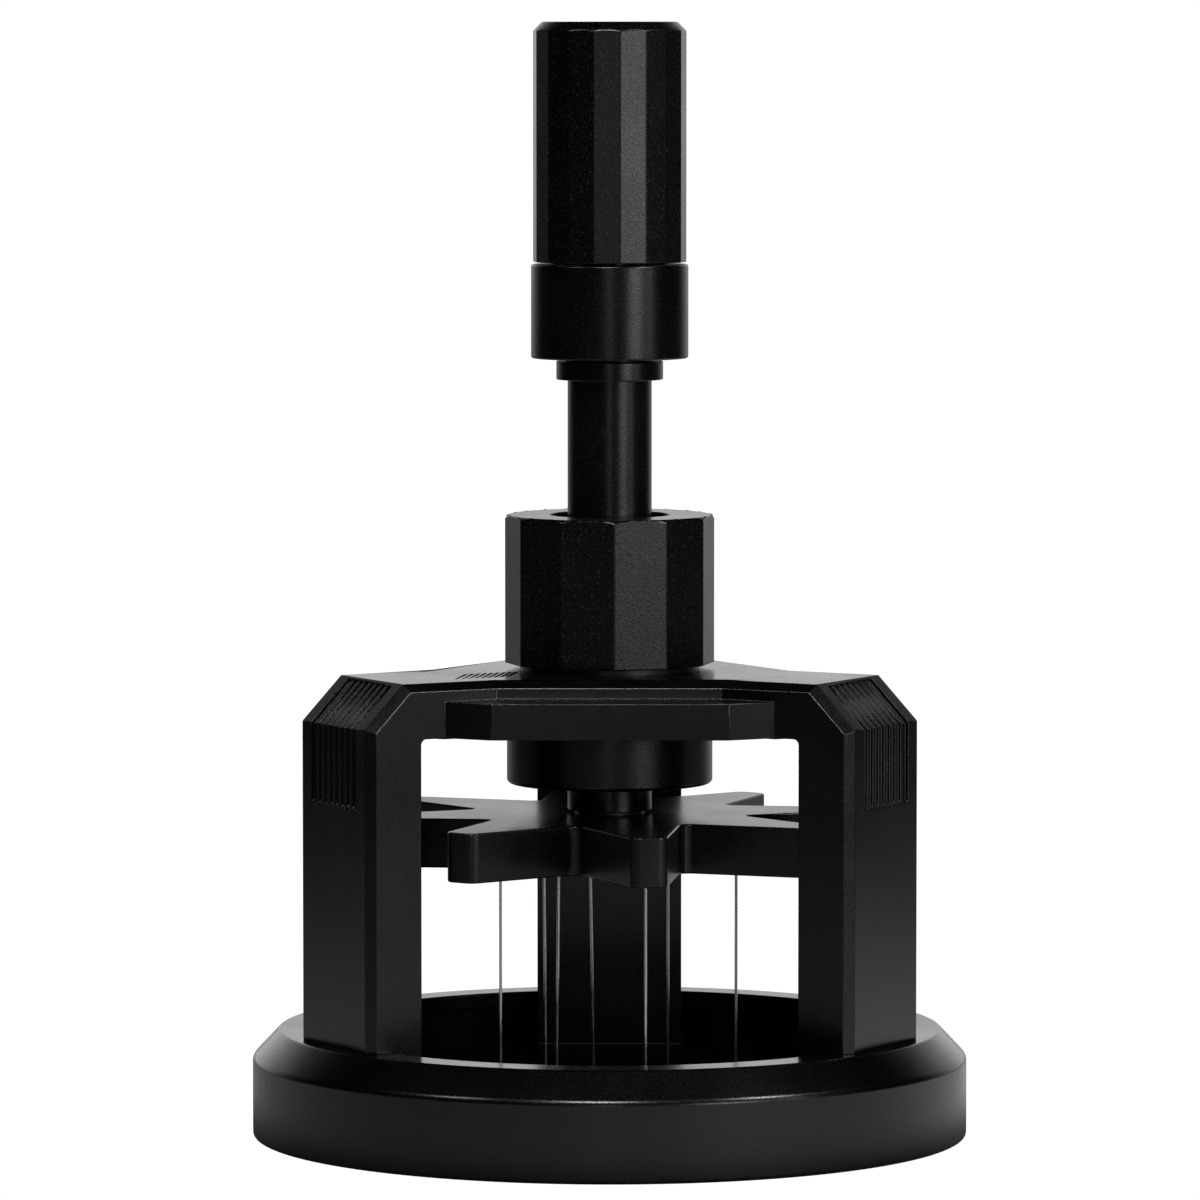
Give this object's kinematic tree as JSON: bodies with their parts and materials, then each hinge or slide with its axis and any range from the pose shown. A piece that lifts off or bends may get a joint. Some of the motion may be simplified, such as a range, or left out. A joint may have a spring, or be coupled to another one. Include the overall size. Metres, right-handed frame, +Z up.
{
  "type": "needle coffee distributor",
  "caption": "Free-standing needle distributor: base ring, legged frame, clamped sliding sleeve, and a grip that spins a star plate of fine needles.",
  "frame": {"origin": "centre of the base ring's underside", "axes": "+Z up along the spindle axis, -Y towards the front, +X to the right seen from the front"},
  "size_m": [0.074, 0.074, 0.1151],
  "materials": {
    "anodised_body": "bead-blasted, black anodised, satin",
    "anodised_turned": "turned, bead-blasted, black anodised",
    "anodised_faceted": "flat-milled facets, black anodised, coarse satin grain",
    "anodised_star": "laser-cut plate, black anodised, satin",
    "blackened_steel": "black oxide",
    "bright_steel": "ground",
    "needle_steel": "bright drawn wire",
    "bronze": "sintered, oil-filled",
    "rubber": "matte",
    "black_polymer": "low-friction sheet"
  },
  "bodies": {
    "root": {"base_ring": "anodised_body", "frame": "anodised_body", "base_screws": "blackened_steel", "collet_body": "blackened_steel", "hub_lock_ring": "anodised_turned", "guide_bush": "bronze", "guide_o_rings": "rubber"},
    "clamp": {"clamp_ring": "bright_steel"},
    "nut": {"lock_nut": "anodised_faceted"},
    "sleeve": {"sleeve_tube": "anodised_turned", "bearing_collar": "anodised_turned", "bearing_outer_race": "bright_steel", "bearing_retainer": "blackened_steel", "lower_bush": "bronze"},
    "cage": {"bearing_cage": "bronze", "bearing_balls": "bright_steel"},
    "rotor": {"spindle": "bright_steel", "handle_grip": "anodised_faceted", "grip_screw": "blackened_steel", "bearing_inner_race": "bright_steel", "spindle_clip": "blackened_steel", "thrust_washer": "black_polymer", "star_plate": "anodised_star", "star_screw": "blackened_steel", "needle_1": "needle_steel", "needle_2": "needle_steel", "needle_3": "needle_steel", "needle_4": "needle_steel", "needle_5": "needle_steel", "needle_6": "needle_steel", "needle_7": "needle_steel", "needle_8": "needle_steel"}
  },
  "joints": [
    {"name": "depth_slide", "type": "slide", "parent": "root", "child": "sleeve", "axis": [0, 0, -1], "range_m": [-0.003, 0.015]},
    {"name": "needle_spin", "type": "hinge", "parent": "sleeve", "child": "rotor", "pos_m": [0, 0, 0.0866], "axis": [0, 0, 1], "continuous": true},
    {"name": "cage_spin", "type": "hinge", "parent": "sleeve", "child": "cage", "pos_m": [0, 0, 0.0866], "axis": [0, 0, 1], "continuous": true},
    {"name": "lock_rise", "type": "slide", "parent": "root", "child": "clamp", "axis": [0, 0, 1], "range_m": [0, 0.001]},
    {"name": "lock_turn", "type": "hinge", "parent": "clamp", "child": "nut", "pos_m": [0, 0, 0.0562], "axis": [0, 0, 1], "range_deg": [0, 360]}
  ],
  "couplings": [
    {"joint": "cage_spin", "follows": "needle_spin", "ratio": 0.375},
    {"joint": "lock_rise", "follows": "lock_turn", "m_per_rad": 0.00015915}
  ]
}
